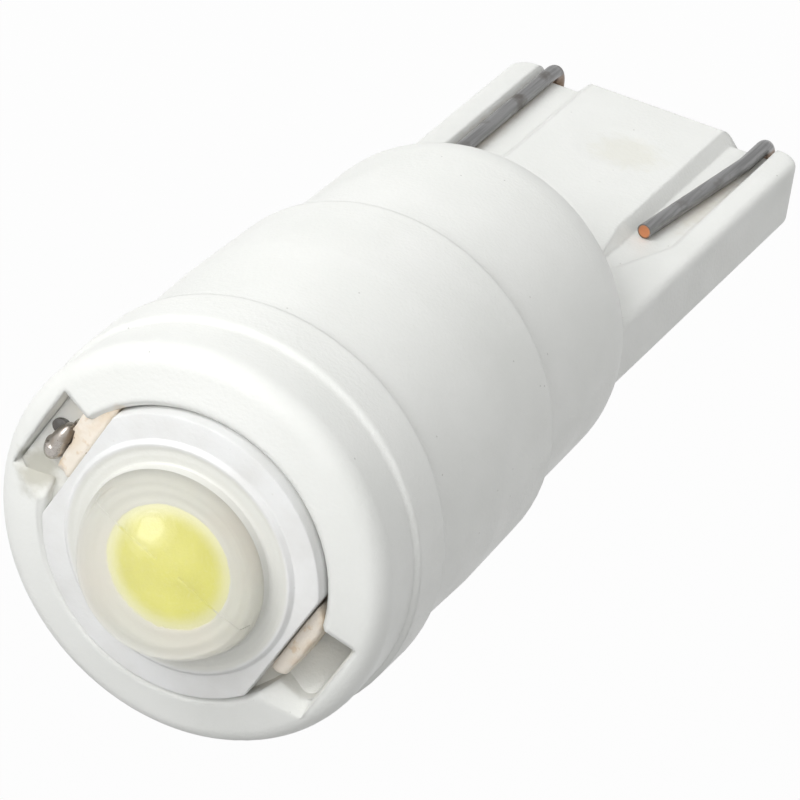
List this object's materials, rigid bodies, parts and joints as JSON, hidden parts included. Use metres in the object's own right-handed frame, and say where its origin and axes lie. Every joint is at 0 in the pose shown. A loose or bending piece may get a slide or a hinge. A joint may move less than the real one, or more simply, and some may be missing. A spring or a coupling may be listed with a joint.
{
  "type": "wedge base led bulb",
  "caption": "White ceramic wedge base bulb: stepped round barrel, clear domed light emitter set in its nose, flat wedge with two contact wires bent over the tip.",
  "frame": {"origin": "centre of the wedge's flat tip, on the lamp's axis", "axes": "+Z along the axis from the wedge towards the lens, +X across the wedge's width, +Y across its thickness"},
  "size_m": [0.0116, 0.0116, 0.0328],
  "materials": {
    "ceramic": "white fired ceramic, satin, with fine dark specks",
    "clear_lens": "clear moulded silicone, faintly cloudy",
    "ivory_plastic": "ivory moulding with brown flux stains",
    "slug_copper": "silver plated copper in the cup, bare below",
    "chip": "polished crystal",
    "silver_epoxy": "dull silver epoxy",
    "phosphor": "yellow phosphor in silicone",
    "clear_gel": "clear silicone gel",
    "silver_wire": "fine silver wire",
    "tinned_lead": "dull tin plate",
    "solder": "solder, partly dulled by flux",
    "adhesive": "white thermal adhesive",
    "resistor_coat": "blue grey coating",
    "resistor_cap": "pressed tinned cap",
    "tinned_wire": "tinned copper, dulled, copper at the cut end",
    "sleeve": "white woven glass sleeve"
  },
  "bodies": {
    "root": {"ceramic_body": "ceramic", "emitter_lens": "clear_lens", "emitter_housing": "ivory_plastic", "heat_slug": "slug_copper", "led_die": "chip", "die_attach": "silver_epoxy", "phosphor_fill": "phosphor", "gel_fill": "clear_gel", "bond_wire_anode": "silver_wire", "bond_wire_cathode": "silver_wire", "anode_lead": "tinned_lead", "cathode_lead": "tinned_lead", "solder_anode": "solder", "solder_cathode": "solder", "thermal_adhesive_front": "adhesive", "thermal_adhesive_back": "adhesive", "resistor_body": "resistor_coat", "resistor_cap_top": "resistor_cap", "resistor_cap_bottom": "resistor_cap", "resistor_lead_top": "tinned_wire", "contact_wire_left": "tinned_wire", "contact_wire_right": "tinned_wire", "sleeve_anode": "sleeve", "sleeve_cathode": "sleeve"}
  },
  "joints": []
}
